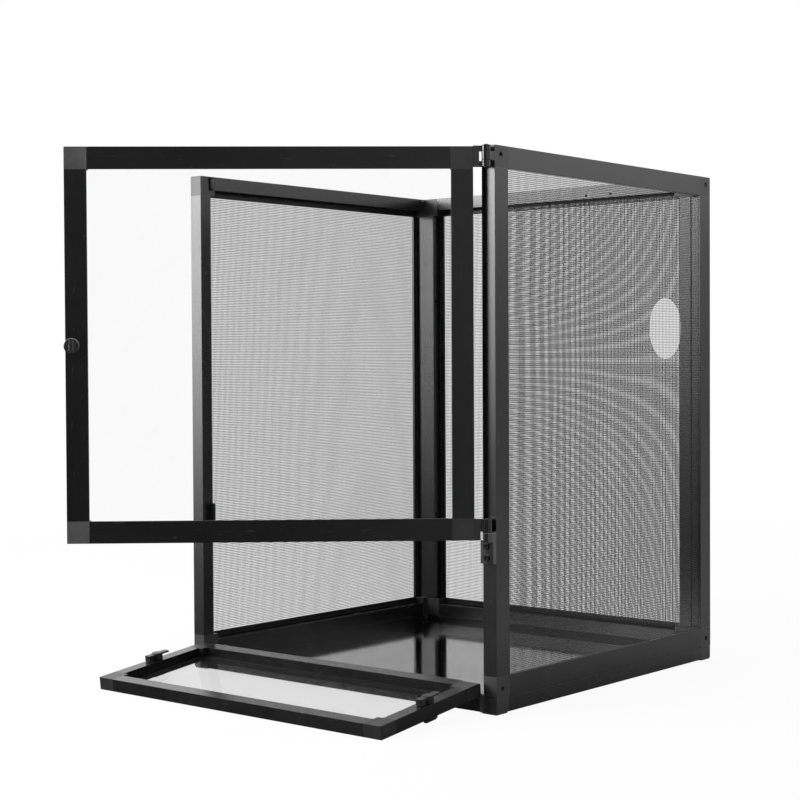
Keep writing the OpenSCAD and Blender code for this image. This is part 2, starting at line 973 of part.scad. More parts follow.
// Door's hinge leaf from z = low, with a knuckle and neck at each place in spans.
module door_leaf(low, height, spans) {
    x = hinge_x - main_x;
    y = hinge_y - door_y;
    clear_x = x - knuckle_r - leaf_clear;
    translate([main_w - seam, 0, low]) cube([clear_x - main_w + seam, leaf_t, height]);
    for (span = spans) {
        translate([main_w - seam, 0, span[0]])
            cube([x - main_w + seam, leaf_t, span[1]]);
        translate([x - knuckle_r, y, span[0]]) cube([knuckle_r, leaf_t - y, span[1]]);
        translate([x, y, span[0]]) cylinder(r = knuckle_r, h = span[1]);
    }
}

// What is cut from a leaf: the pin's bore and the groove along the corner.
module leaf_cut(low, height) {
    translate([hinge_x - main_x, hinge_y - door_y, 0]) pin_bore(low, height);
    translate([main_w, -seam, -main_h]) cube([leaf_groove, leaf_groove + seam, 3 * main_h]);
}

module main_top_hinge_corner() {
    low = main_h + knuckle_rise - top_hinge_h;
    high = main_h + knuckle_rise - top_knuckle_h;
    color(plastic)
        at_main()
            difference() {
                union() {
                    flip_x(main_w) flip_z(main_h) connector(door_t);
                    door_leaf(low, main_h - low, [[low, top_knuckle_h], [high, top_knuckle_h]]);
                }
                leaf_cut(low, top_hinge_h);
            }
}

module main_bottom_hinge_corner() {
    low = low_knuckle_z - main_z;
    color(plastic)
        at_main()
            difference() {
                union() {
                    flip_x(main_w) connector(door_t);
                    door_leaf(0, low + low_knuckle_h, [[low, low_knuckle_h]]);
                }
                leaf_cut(low, low_knuckle_h);
            }
}

module main_pane() {
    color(clear) at_main() on_flanges(pane_t) infill_outline(main_w, main_h);
}

module main_pane_splines() {
    color(black) at_main() splines(main_w, main_h);
}

// ---- Turn latches: the knob outside with its shaft, the arm inside ----

// Both are drawn about the latch's axis, which runs along y from the door's outer face.
module latch_knob() {
    shaft_len = door_t + arm_back + arm_t;
    rotate([90, 0, 0]) {
        translate([0, 0, seam]) cylinder(d = knob_d, h = knob_t - chamfer);
        translate([0, 0, seam + knob_t - chamfer])
            cylinder(d1 = knob_d, d2 = knob_d - 2 * chamfer, h = chamfer);
        translate([0, 0, seam + knob_t])
            linear_extrude(finger_h)
                intersection() {
                    circle(d = finger_len);
                    square([finger_w, finger_len], center = true);
                }
        translate([0, 0, -shaft_len]) cylinder(d = shaft_d, h = shaft_len + 2 * seam);
    }
}

// Outline of the arm's bar: rounded off about the latch's axis at both ends.
module arm_outline() {
    intersection() {
        circle(r = arm_half);
        square([arm_w, 2 * arm_half], center = true);
    }
}

// Arm: capped hub, flat bar and the block that bears on the door's face.
module latch_arm() {
    back = arm_back + arm_t;
    translate([0, door_t, 0])
        rotate([-90, 0, 0])
            difference() {
                union() {
                    translate([0, 0, knuckle_gap])
                        cylinder(d = hub_d, h = back + hub_rise - chamfer - knuckle_gap);
                    translate([0, 0, back + hub_rise - chamfer])
                        cylinder(d1 = hub_d, d2 = hub_d - 2 * chamfer, h = chamfer);
                    translate([0, 0, arm_back]) linear_extrude(arm_t) arm_outline();
                    translate([0, 0, knuckle_gap])
                        linear_extrude(back - knuckle_gap)
                            intersection() {
                                arm_outline();
                                translate([-arm_w / 2, -arm_half]) square([arm_w, block_len]);
                            }
                }
                translate([0, 0, -seam]) cylinder(d = shaft_d, h = back + seam);
            }
}

module at_main_latch() {
    at_main() translate([latch_in, 0, main_latch_up - main_up]) children();
}

module at_left_latch() {
    at_drop() translate([latch_in, 0, drop_latch_up]) children();
}

module at_right_latch() {
    at_drop() translate([drop_w - latch_in, 0, drop_latch_up]) children();
}

module main_latch_knob() {
    color(plastic) at_main_latch() latch_knob();
}

module main_latch_arm() {
    color(plastic) at_main_latch() latch_arm();
}

module left_latch_knob() {
    color(plastic) at_left_latch() latch_knob();
}

module left_latch_arm() {
    color(plastic) at_left_latch() latch_arm();
}

module right_latch_knob() {
    color(plastic) at_right_latch() latch_knob();
}

module right_latch_arm() {
    color(plastic) at_right_latch() latch_arm();
}

// ---- Drop door ----

module drop_left_stile() {
    color(black) at_drop() latch_stile(drop_h, drop_latch_up);
}

module drop_right_stile() {
    color(black) at_drop() flip_x(drop_w) latch_stile(drop_h, drop_latch_up);
}

module drop_top_rail() {
    color(black) at_drop() flip_z(drop_h) crossbar(drop_w, door_t);
}

module drop_bottom_rail() {
    color(black) at_drop() crossbar(drop_w, door_t);
}

module drop_free_corners() {
    color(plastic) at_drop() flip_z(drop_h) both_ends(drop_w) connector(door_t);
}

// Lower corner of the drop door, with the barrel that turns on a pin.
module barrel_corner() {
    difference() {
        union() {
            connector(door_t);
            translate([0, -drop_axis_out, drop_axis_up])
                rotate([0, 90, 0])
                    cylinder(r = barrel_r, h = barrel_len);
        }
        translate([0, -drop_axis_out, drop_axis_up]) rotate([0, 90, 0]) pin_bore(0, barrel_len);
        translate([-seam, door_t - drop_round, drop_round])
            rotate([90, 0, 90])
                linear_extrude(face_w + 2 * seam)
                    difference() {
                        translate([0, -drop_round - seam]) square([drop_round + seam, drop_round + seam]);
                        circle(r = drop_round);
                    }
    }
}

module drop_hinge_corners() {
    color(plastic) at_drop() both_ends(drop_w) barrel_corner();
}

module drop_pane() {
    color(clear) at_drop() on_flanges(pane_t) infill_outline(drop_w, drop_h);
}

module drop_pane_splines() {
    color(black) at_drop() splines(drop_w, drop_h);
}

base_front_rail();
base_rear_rail();
base_left_rail();
base_right_rail();
base_corner_front_left();
base_corner_front_right();
base_corner_rear_left();
base_corner_rear_right();
tray_sheet();
drop_door_pins();
left_front_post();
left_rear_post();
left_top_rail();
left_bottom_rail();
left_top_corners();
left_bottom_corners();
left_mesh();
right_front_post();
right_rear_post();
right_top_rail();
right_bottom_rail();
right_top_corners();
right_bottom_corners();
right_mesh();
back_left_stile();
back_right_stile();
back_top_rail();
back_bottom_rail();
back_top_corners();
back_bottom_corners();
back_mesh();
mesh_splines();
lower_hinge_bracket();
door_stop_plate();
hinge_pins();
cage_screws();
main_free_stile();
main_hinge_stile();
main_top_rail();
main_bottom_rail();
main_free_corners();
main_top_hinge_corner();
main_bottom_hinge_corner();
main_pane();
main_pane_splines();
main_latch_knob();
main_latch_arm();
drop_left_stile();
drop_right_stile();
drop_top_rail();
drop_bottom_rail();
drop_free_corners();
drop_hinge_corners();
drop_pane();
drop_pane_splines();
left_latch_knob();
left_latch_arm();
right_latch_knob();
right_latch_arm();
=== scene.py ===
# %% [markdown]
# # A screen cage for reptiles
# The cage is a tall box of black aluminium rails and woven mesh that stands on a low base
# with a tray. This lesson dresses the CAD model: every rail, corner, hinge and latch keeps
# its CAD shape, and gets a finish of its own. Only the three mesh sheets are made anew,
# because real mesh is hundreds of thin wires, which a plain sheet can't show.

import json
import math

import bpy
from mathutils import Matrix, Vector


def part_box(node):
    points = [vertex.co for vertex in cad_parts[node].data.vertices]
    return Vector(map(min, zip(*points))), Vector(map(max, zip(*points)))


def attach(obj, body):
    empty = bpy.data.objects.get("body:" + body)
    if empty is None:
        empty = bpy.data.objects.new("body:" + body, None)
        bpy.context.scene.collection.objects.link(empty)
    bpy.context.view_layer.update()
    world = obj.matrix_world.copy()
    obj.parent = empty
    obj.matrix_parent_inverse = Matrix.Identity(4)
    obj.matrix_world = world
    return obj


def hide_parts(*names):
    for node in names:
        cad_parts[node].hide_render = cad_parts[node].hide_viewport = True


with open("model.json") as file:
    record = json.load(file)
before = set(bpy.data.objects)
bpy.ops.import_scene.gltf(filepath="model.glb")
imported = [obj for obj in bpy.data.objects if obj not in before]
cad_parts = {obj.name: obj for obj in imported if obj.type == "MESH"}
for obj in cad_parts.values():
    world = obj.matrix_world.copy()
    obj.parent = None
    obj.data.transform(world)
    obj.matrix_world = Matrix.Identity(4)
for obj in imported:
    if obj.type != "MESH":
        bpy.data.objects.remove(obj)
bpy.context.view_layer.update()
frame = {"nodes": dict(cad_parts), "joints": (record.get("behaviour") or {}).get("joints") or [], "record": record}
nodes = frame["nodes"]
record = frame["record"]

# %% Sizes that the later cells share
MM = 0.001
table_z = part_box("base_corner_front_left")[0].z
joints = {joint["name"]: joint for joint in frame["joints"]}
hinge_place = Vector(joints["main_door_hinge"]["pos_m"])
open_angle = math.radians(-joints["main_door_hinge"]["range_deg"][0])
fold = math.radians(joints["drop_door_hinge"]["range_deg"][1])
print("table at", round(table_z, 4), "door angle", round(math.degrees(open_angle), 1))

# %% [markdown]
# ## Writing shader maths as plain expressions
# A material is a small network of nodes. Wiring each Math node by hand hides the idea, so
# one small class wraps an output and overloads the arithmetic signs. A sum of two wrapped
# outputs adds its Math node by itself, and every other node comes from one method.

# %% The wrapped output and the node maker
class Wire:
    """An output of a node, which can stand in a sum."""

    def __init__(self, maker, socket):
        self.maker = maker
        self.socket = socket

    def maths(self, operation, a, b=0.0):
        return self.maker.node("ShaderNodeMath", {"operation": operation}, {0: a, 1: b})

    def __add__(self, other):
        return self.maths("ADD", self, other)

    def __radd__(self, other):
        return self.maths("ADD", other, self)

    def __sub__(self, other):
        return self.maths("SUBTRACT", self, other)

    def __rsub__(self, other):
        return self.maths("SUBTRACT", other, self)

    def __mul__(self, other):
        return self.maths("MULTIPLY", self, other)

    def __rmul__(self, other):
        return self.maths("MULTIPLY", other, self)

    def __truediv__(self, other):
        return self.maths("DIVIDE", self, other)

    def __lt__(self, other):
        return self.maths("LESS_THAN", self, other)

    def __gt__(self, other):
        return self.maths("GREATER_THAN", self, other)

    def root(self):
        return self.maths("SQRT", self)

    def at_least(self, other):
        return self.maths("MAXIMUM", self, other)

    def at_most(self, other):
        return self.maths("MINIMUM", self, other)


class NodeMaker:
    """Adds nodes to one tree."""

    def __init__(self, tree):
        self.tree = tree

    def node(self, kind, settings=None, inputs=None, out=0):
        made = self.tree.nodes.new(kind)
        for name, value in (settings or {}).items():
            setattr(made, name, value)
        for key, value in (inputs or {}).items():
            if isinstance(value, Wire):
                self.tree.links.new(value.socket, made.inputs[key])
            else:
                made.inputs[key].default_value = value
        return Wire(self, made.outputs[out]) if len(made.outputs) else made


def new_material(name):
    material = bpy.data.materials.new(name)
    material.use_nodes = True
    material.node_tree.nodes.clear()
    return material, NodeMaker(material.node_tree)


def finish_material(maker, **inputs):
    """Adds the Principled shader with these inputs and the output node."""
    named = {name.replace("_", " "): value for name, value in inputs.items()}
    shader = maker.node("ShaderNodeBsdfPrincipled", None, named)
    maker.node("ShaderNodeOutputMaterial", None, {"Surface": shader})
    return shader


print("node maker ready")

# %% [markdown]
# ## Noise that follows the work
# Extruded aluminium carries fine die lines along its length, and anodising leaves a faint
# cloudiness. Both are noise read from Object coordinates. To stretch the noise along a rail
# the position is squeezed in that direction first, so one rule serves rails at any angle.
# Map Range turns a raw noise or distance into a mask, and a Mix of two colours by such a
# mask is what gives a surface its variation.

# %% Helpers for noise and soft edges
MIX_FIRST, MIX_SECOND = 6, 7  # the two colour inputs of a Mix node, by position
MIX_COLOUR = 2  # its colour output
NOISE_LOW, NOISE_HIGH = 0.3, 0.7  # most of a noise's values lie between these
SMOOTH = "SMOOTHSTEP"


def object_point(maker):
    return maker.node("ShaderNodeTexCoord", out="Object")


def vector_maths(maker, operation, a, b=(0.0, 0.0, 0.0), out=0):
    return maker.node("ShaderNodeVectorMath", {"operation": operation}, {0: a, 1: b}, out)


def dot(maker, a, b):
    return vector_maths(maker, "DOT_PRODUCT", a, b, "Value")


def scaled(maker, vector, factor):
    return maker.node("ShaderNodeVectorMath", {"operation": "SCALE"}, {0: vector, "Scale": factor})


def along(maker, point, direction, squeeze):
    """The point with its part along the direction multiplied by squeeze."""
    part = dot(maker, point, direction)
    return vector_maths(maker, "ADD", point, scaled(maker, direction, part * (squeeze - 1.0)))


def noise(maker, point, scale, detail=2.0):
    return maker.node("ShaderNodeTexNoise", None,
                      {"Vector": point, "Scale": scale, "Detail": detail, "Roughness": 0.55})


def spread(maker, value, low, high, start=0.0, end=1.0, kind="LINEAR"):
    """A number that goes from start to end as the value goes from low to high."""
    return maker.node(
        "ShaderNodeMapRange",
        {"clamp": True, "interpolation_type": kind},
        {"Value": value, "From Min": low, "From Max": high, "To Min": start, "To Max": end},
    )


def blend_colours(maker, factor, first, second):
    """The first colour where the factor is 0, the second where it is 1."""
    first, second = ((*c, 1) if isinstance(c, tuple) else c for c in (first, second))
    return maker.node("ShaderNodeMix", {"data_type": "RGBA"},
                      {"Factor": factor, MIX_FIRST: first, MIX_SECOND: second}, MIX_COLOUR)


def ramp(maker, factor, dark, light):
    """A colour that goes from dark to light over the middle of a noise."""
    return blend_colours(maker, spread(maker, factor, NOISE_LOW, NOISE_HIGH), dark, light)


def soft_edge(maker, radius):
    return maker.node("ShaderNodeBevel", {"samples": 4}, {"Radius": radius})


def surface_normal(maker):
    return maker.node("ShaderNodeNewGeometry", out="Normal")


def bump(maker, height, distance, normal):
    return maker.node("ShaderNodeBump", None,
                      {"Strength": 1.0, "Distance": distance, "Height": height, "Normal": normal})


print("noise helpers ready")

# %% [markdown]
# ## Black anodised rails
# The rails are satin black, a little blue, with die lines that only show where light
# rakes along them. The lines move the roughness and a very shallow bump. A flat black
# would look like plastic, and a strong bump would look sawn, so both stay faint. A few
# scuffs are lighter and rougher, as on any frame that has been put together by hand.
#
# The rails across the base and all the drop door's rails have a duller coat. It is the
# same recipe with a lower index of refraction, which leaves less mirror on the black.

# %% Anodised aluminium
COAT_DARK, COAT_LIGHT = (0.0036, 0.0037, 0.0040), (0.0064, 0.0065, 0.0069)
SCUFF = (0.05, 0.05, 0.052)
SCUFF_STRENGTH = 0.25
LINE_SCALE, CLOUD_SCALE, SCUFF_SCALE = 1500.0, 22.0, 260.0


def anodised(name, direction, dark=COAT_DARK, light=COAT_LIGHT, ior=1.5):
    material, maker = new_material(name)
    point = object_point(maker)
    lines = noise(maker, along(maker, point, direction, 0.01), LINE_SCALE, 3.0)
    cloud = noise(maker, point, CLOUD_SCALE, 3.0)
    scuffs = noise(maker, along(maker, point, direction, 0.2), SCUFF_SCALE, 5.0)
    worn = spread(maker, scuffs, 0.66, 0.74)
    coat = ramp(maker, cloud, dark, light)
    finish_material(
        maker,
        Base_Color=blend_colours(maker, worn * SCUFF_STRENGTH, coat, SCUFF),
        Roughness=0.17 + 0.10 * lines + 0.06 * cloud + 0.10 * worn,
        IOR=ior,
        Normal=bump(maker, lines, 0.02 * MM, soft_edge(maker, 0.5 * MM)),
    )
    return material


across = (1.0, 0.0, 0.0)
deep = (0.0, 1.0, 0.0)
upright = (0.0, 0.0, 1.0)
main_across = (math.cos(open_angle), math.sin(open_angle), 0.0)
drop_up = (0.0, -math.sin(fold), math.cos(fold))
SATIN = {"dark": (0.0055, 0.0056, 0.0060), "light": (0.0090, 0.0091, 0.0096), "ior": 1.27}
rail_finish = {
    "across": anodised("anodised_across", across),
    "deep": anodised("anodised_deep", deep),
    "upright": anodised("anodised_upright", upright),
    "main_across": anodised("anodised_main_across", main_across),
    "satin_across": anodised("satin_across", across, **SATIN),
    "satin_drop_up": anodised("satin_drop_up", drop_up, **SATIN),
}
print("rail finishes", len(rail_finish))

# %% [markdown]
# ## Moulded corners, knobs and hinges
# These are black plastic from a spark-eroded mould, with a fine even grain. The grain is
# a fine noise in the bump, and a slower noise shifts the gloss where fingers have polished
# it. The Bevel node rounds the edges for the light only: a wide one on the turned knobs
# and the hinge bracket, a narrow one on the square corners.
#
# The main door's knuckles have rubbed on each other until they shine. A mask finds them by
# their distance from the hinge's axis, so it needs no second material. The main door's two
# free corners get a lighter grey than the rest. That is painted light: the same plastic
# looks brighter there because of the light it catches.

# %% Moulded plastic
KNUCKLE_INSIDE, KNUCKLE_OUTSIDE = 5.2 * MM, 6.5 * MM
KNUCKLE_BLACK = (0.006, 0.006, 0.006)
GRAIN_SCALE, PATCH_SCALE = 2600.0, 45.0
NARROW_EDGE, WIDE_EDGE = 0.4 * MM, 1.1 * MM


def near_hinge(maker, point):
    """1 on the main door's knuckles and 0 away from them."""
    offset = vector_maths(maker, "SUBTRACT", point, tuple(hinge_place))
    level = vector_maths(maker, "MULTIPLY", offset, (1.0, 1.0, 0.0))
    distance = vector_maths(maker, "LENGTH", level, out="Value")
    return spread(maker, distance, KNUCKLE_INSIDE, KNUCKLE_OUTSIDE, 1.0, 0.0)


def moulded(name, dark, light, roughness, ior=1.5, edge=NARROW_EDGE):
    material, maker = new_material(name)
    point = object_point(maker)
    grain = noise(maker, point, GRAIN_SCALE, 2.0)
    patch = noise(maker, point, PATCH_SCALE, 3.0)
    rubbed = near_hinge(maker, point)
    finish_material(
        maker,
        Base_Color=blend_colours(maker, rubbed, ramp(maker, patch, dark, light), KNUCKLE_BLACK),
        Roughness=(roughness + 0.10 * grain + 0.08 * patch) * (1.0 - 0.6 * rubbed),
        IOR=ior,
        Normal=bump(maker, grain, 0.04 * MM, soft_edge(maker, edge)),
    )
    return material


corner = moulded("corner_plastic", (0.012, 0.012, 0.0125), (0.018, 0.018, 0.0185), 0.32)
# Painted light: the door's two free corners are a lighter copy of the corner plastic, standing in for the light
# they catch.
painted_light_corners = moulded("free_corner_painted_light", (0.038, 0.038, 0.039), (0.070, 0.070, 0.071), 0.40)
base_corner = moulded("base_plastic", (0.014, 0.014, 0.0145), (0.021, 0.021, 0.0215), 0.32)
drop_part = moulded("drop_plastic", (0.010, 0.010, 0.0105), (0.016, 0.016, 0.0165), 0.30, 1.3)
polished = moulded("latch_plastic", (0.006, 0.006, 0.0063), (0.010, 0.010, 0.0103), 0.13, 1.9,
                   WIDE_EDGE)
plastics = {
    "main_latch": polished,
    "lower_hinge_bracket": polished,
    "left_latch": drop_part,
    "right_latch": drop_part,
    "drop_": drop_part,
    "base_corner": base_corner,
    "main_free_corners": painted_light_corners,
}
print("plastic finishes for", len(plastics), "kinds of piece, and the corners")

# %% [markdown]
# ## Wire, cord, steel and tray
# The wire of the mesh is coated black and slightly rough. The cord that holds it is
# rubbery and ribbed. Pins are plain dark steel, and screws are blackened. The tray is a
# glossy light grey sheet that mirrors the plugs standing over it. A full metal with a grey
# colour gives that mirror at every angle, where a plastic would only show it at a slant.

# %% Small metal parts, cord and tray
def coated_wire():
    material, maker = new_material("coated_wire")
    point = object_point(maker)
    coat = noise(maker, point, 900.0, 2.0)
    finish_material(
        maker,
        Base_Color=ramp(maker, coat, (0.006, 0.006, 0.0065), (0.012, 0.012, 0.0125)),
        Roughness=0.45 + 0.15 * coat,
        IOR=1.3,
    )
    return material


def ribbed_cord():
    material, maker = new_material("ribbed_cord")
    point = object_point(maker)
    ribs = maker.node("ShaderNodeTexWave", {"wave_type": "BANDS", "bands_direction": "DIAGONAL"},
                      {"Vector": point, "Scale": 420.0, "Distortion": 0.0}, "Fac")
    fleck = noise(maker, point, 700.0, 2.0)
    finish_material(
        maker,
        Base_Color=ramp(maker, fleck, (0.016, 0.016, 0.016), (0.028, 0.028, 0.028)),
        Roughness=0.75 + 0.15 * fleck,
        IOR=1.2,
        Normal=bump(maker, ribs, 0.03 * MM, surface_normal(maker)),
    )
    return material


def dark_steel(name, dark, light):
    material, maker = new_material(name)
    point = object_point(maker)
    streak = noise(maker, point, 800.0, 3.0)
    finish_material(
        maker,
        Base_Color=ramp(maker, streak, dark, light),
        Metallic=1.0,
        Roughness=0.28 + 0.18 * streak,
        Normal=soft_edge(maker, 0.2 * MM),
    )
    return material


def glossy_tray():
    material, maker = new_material("glossy_tray")
    point = object_point(maker)
    speck = noise(maker, point, 1500.0, 2.0)
    haze = noise(maker, point, 9.0, 3.0)
    finish_material(
        maker,
        Base_Color=ramp(maker, haze, (0.32, 0.32, 0.325), (0.36, 0.36, 0.365)),
        Metallic=1.0,
        Roughness=0.05 + 0.05 * haze,
        Normal=bump(maker, speck, 0.004 * MM, surface_normal(maker)),
    )
    return material


wire_coat = coated_wire()
cord_rubber = ribbed_cord()
pin_steel = dark_steel("dark_steel", (0.05, 0.05, 0.052), (0.10, 0.10, 0.105))
black_screws = dark_steel("black_screws", (0.012, 0.012, 0.013), (0.022, 0.022, 0.024))
tray_gloss = glossy_tray()
print("small finishes ready")

# %% [markdown]
# ## Clear panes
# The panes are thin acrylic, so almost all light goes straight through and only a glancing
# view shows a reflection. A see-through surface is enough: its alpha follows the Fresnel
# law up to a cap, and a faint haze of wiping marks keeps it from being quite invisible.

# %% Clear acrylic
WIPING_DIRECTION = (0.6, 0.0, 0.8)
WIPING_SCALE, HAZE = 60.0, 0.01
MIRROR_SHARE, MIRROR_CAP = 0.7, 0.17


def acrylic():
    material, maker = new_material("clear_acrylic")
    point = object_point(maker)
    wiping = noise(maker, along(maker, point, WIPING_DIRECTION, 0.15), WIPING_SCALE, 4.0)
    haze = spread(maker, wiping, 0.5, 0.8, 0.0, HAZE)
    mirror = maker.node("ShaderNodeFresnel", None, {"IOR": 1.45})
    finish_material(
        maker,
        Base_Color=(0.02, 0.02, 0.02, 1),
        IOR=1.2,
        Roughness=0.03 + 4.0 * haze,
        Alpha=(mirror * MIRROR_SHARE).at_most(MIRROR_CAP) + haze,
    )
    return material


pane_clear = acrylic()
print("pane finish ready")

# %% [markdown]
# ## Giving each piece its finish
# The record says which slot each CAD node takes its finish from. Rails also need to know
# which way they run, which their own box tells: the longest side is the way the die lines
# go. The doors stand at an angle, so their rails are told apart by name. Plastic pieces
# are sorted by the start of their names.

# %% Hand out the finishes
def longest_side(name):
    low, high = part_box(name)
    size = high - low
    return ("across", "deep", "upright")[max(range(3), key=lambda i: size[i])]


def rail_direction(name):
    if name.startswith("main_"):
        return "upright" if name.endswith("stile") else "main_across"
    if name.startswith("drop_"):
        return "satin_drop_up" if name.endswith("stile") else "satin_across"
    if name.startswith("base_") and longest_side(name) == "across":
        return "satin_across"
    return longest_side(name)


def plastic_for(name):
    """The finish whose key the name starts with, or the common corner plastic."""
    return next((finish for start, finish in plastics.items() if name.startswith(start)), corner)


slot_finish = {
    "mesh": wire_coat,
    "pane": pane_clear,
    "spline": cord_rubber,
    "steel": pin_steel,
    "tray": tray_gloss,
}


def finish_for(name, slot_name):
    if name == "cage_screws":
        return black_screws
    if slot_name == "plastic":
        return plastic_for(name)
    return slot_finish.get(slot_name) or rail_finish[rail_direction(name)]


for part in record["subparts"]:
    mesh = nodes[part["node"]].data
    mesh.materials.clear()
    mesh.materials.append(finish_for(part["node"], part["material_slot"]))
print("finished", len(record["subparts"]), "pieces")

# %% [markdown]
# ## Woven mesh with Geometry Nodes
# Each panel holds a few hundred wires in two directions. Geometry Nodes suit this: a line
# of points gives one wire each, and an instance of a thin rod is stretched to its length.
# Where a wire meets the round cable port it stops at the circle and goes on behind it, so
# every wire is made as two rods whose lengths come from the circle's equation. The notch
# keeps the outermost wires clear of the corner mouldings.
#
# Perfectly even wires look drawn by machine, so each one is shifted by a small random
# amount. Then the whole sheet drifts slowly in its own plane, as mesh does when the cord
# pulls it tight. The drift is a noise that fades out at the sheet's edges, and it needs
# rods of several steps, because a rod of one step could only stay straight.

# %% The tree for one woven panel
SIZE_INPUTS = ("Width", "Height", "Thickness", "Notch", "Pitch", "Warp Radius", "Weft Radius",
               "Port Radius", "Port X", "Port Z", "Uneven", "Wander")
ROD_SIDES = 6
ROD_STEPS = 8
LAYER = 0.95  # how far out the two layers of wire lie, as a share of the sheet's thickness
SHORTEST_ROD = 0.1 * MM
WANDER_SCALE = 9.0
WANDER_FADE = 40 * MM
RANDOM_MIN, RANDOM_MAX, RANDOM_SEED = 2, 3, 8  # a Random Value node's inputs for a float
RANDOM_FLOAT = 1  # and its output


def combined(maker, xyz):
    return maker.node("ShaderNodeCombineXYZ", None, dict(enumerate(xyz)))


def separated(maker, vector, axis):
    return maker.node("ShaderNodeSeparateXYZ", None, {0: vector}, axis)


def moved_by(maker, geometry, offset):
    return maker.node("GeometryNodeSetPosition", None, {"Geometry": geometry, "Offset": offset})


def rods(maker, sizes, seed, warp):
    """Both rods of each wire: the warp stands upright, the weft runs across."""
    first, second = ("Width", "Height") if warp else ("Height", "Width")
    centre_first, centre_second = ("Port X", "Port Z") if warp else ("Port Z", "Port X")
    first_size, second_size, pitch = sizes[first], sizes[second], sizes["Pitch"]
    offset = combined(maker, (pitch, 0.0, 0.0) if warp else (0.0, 0.0, pitch))
    count = maker.node("ShaderNodeMath", {"operation": "FLOOR"}, {0: first_size / pitch})
    half = scaled(maker, offset, 0.5)
    line = maker.node("GeometryNodeMeshLine", None,
                      {"Count": count, "Start Location": half, "Offset": offset})
    place = maker.node("GeometryNodeInputPosition")
    at = separated(maker, place, "X" if warp else "Z")
    from_port = at - sizes[centre_first]
    port_squared = sizes["Port Radius"] * sizes["Port Radius"]
    chord = (port_squared - from_port * from_port).at_least(0.0).root()
    in_notch = (at < sizes["Notch"]) + (at > first_size - sizes["Notch"])
    low = sizes["Notch"] * in_notch
    centre = sizes[centre_second]
    spans = ((low, centre - chord), (centre + chord, second_size - low))
    radius = sizes["Warp Radius" if warp else "Weft Radius"]
    rod = maker.node(
        "GeometryNodeMeshCylinder",
        None,
        {"Vertices": ROD_SIDES, "Side Segments": ROD_STEPS, "Radius": 1.0, "Depth": 1.0},
        "Mesh",
    )
    uneven = maker.node(
        "FunctionNodeRandomValue",
        {"data_type": "FLOAT"},
        {RANDOM_MIN: 0.0 - sizes["Uneven"], RANDOM_MAX: sizes["Uneven"], RANDOM_SEED: seed},
        RANDOM_FLOAT,
    )
    layer = (0.5 * sizes["Thickness"] - radius) * (LAYER if warp else -LAYER)
    made = []
    for start, end in spans:
        middle = (start + end) * 0.5
        shift = (uneven, layer, middle) if warp else (middle, layer, uneven)
        length = (end - start).at_least(SHORTEST_ROD)
        made.append(maker.node("GeometryNodeInstanceOnPoints", None, {
            "Points": moved_by(maker, line, combined(maker, shift)),
            "Instance": rod,
            "Scale": combined(maker, (radius, radius, length)),
            "Rotation": (0.0, 0.0 if warp else math.pi / 2, 0.0),
        }))
    return made


def wander(maker, sizes, seed):
    """A slow drift of the whole sheet in its plane, which fades out at its edges."""
    place = maker.node("GeometryNodeInputPosition")
    drift = maker.node("ShaderNodeTexNoise", {"noise_dimensions": "4D"},
                       {"Vector": place, "W": seed, "Scale": WANDER_SCALE, "Detail": 1.0}, "Color")
    centred = vector_maths(maker, "SUBTRACT", drift, (0.5, 0.5, 0.5))
    in_plane = vector_maths(maker, "MULTIPLY", centred, (1.0, 0.0, 1.0))
    x, z = separated(maker, place, "X"), separated(maker, place, "Z")
    to_side = x.at_most(sizes["Width"] - x).at_most(z).at_most(sizes["Height"] - z)
    inside = (to_side / WANDER_FADE).at_least(0.0).at_most(1.0)
    return scaled(maker, in_plane, sizes["Wander"] * inside)


def woven_tree():
    tree = bpy.data.node_groups.new("woven_panel", "GeometryNodeTree")
    for name in SIZE_INPUTS:
        tree.interface.new_socket(name=name, in_out="INPUT", socket_type="NodeSocketFloat")
    tree.interface.new_socket(name="Seed", in_out="INPUT", socket_type="NodeSocketInt")
    tree.interface.new_socket(name="Finish", in_out="INPUT", socket_type="NodeSocketMaterial")
    tree.interface.new_socket(name="Geometry", in_out="OUTPUT", socket_type="NodeSocketGeometry")
    maker = NodeMaker(tree)
    group = tree.nodes.new("NodeGroupInput")
    sizes = {name: Wire(maker, group.outputs[name]) for name in SIZE_INPUTS}
    seed = Wire(maker, group.outputs["Seed"])
    join = tree.nodes.new("GeometryNodeJoinGeometry")
    for rod_set in rods(maker, sizes, seed, True) + rods(maker, sizes, seed, False):
        tree.links.new(rod_set.socket, join.inputs[0])
    real = maker.node("GeometryNodeRealizeInstances", None, {0: Wire(maker, join.outputs[0])})
    drifted = moved_by(maker, real, wander(maker, sizes, seed))
    painted = maker.node("GeometryNodeSetMaterial", None,
                         {"Geometry": drifted, "Material": Wire(maker, group.outputs["Finish"])})
    out = tree.nodes.new("NodeGroupOutput")
    tree.links.new(painted.socket, out.inputs[0])
    return tree


woven = woven_tree()
print("woven tree with", len(woven.nodes), "nodes")

# %% [markdown]
# ## Weaving the three panels
# The tree runs once for each CAD sheet, at that sheet's own size and with a seed of its
# own, so no two sheets are uneven in the same way. The result is copied to a plain mesh,
# turned into the sheet's plane, and takes the sheet's place. The left sheet drifts most.

# %% Weave and place
WIRE_PITCH = 2.05 * MM
WARP_RADIUS = 0.235 * MM
WEFT_RADIUS = 0.28 * MM
UNEVEN = 0.08 * MM
SHEET_WANDER = {"left_mesh": 2.2 * MM, "right_mesh": 1.0 * MM, "back_mesh": 1.2 * MM}
port = next(m for m in record["mounts"] if m["name"] == "cable_port")
port_centre = Vector(port["pos_m"])
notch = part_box("left_top_rail")[0].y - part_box("left_mesh")[0].y + 0.1 * MM


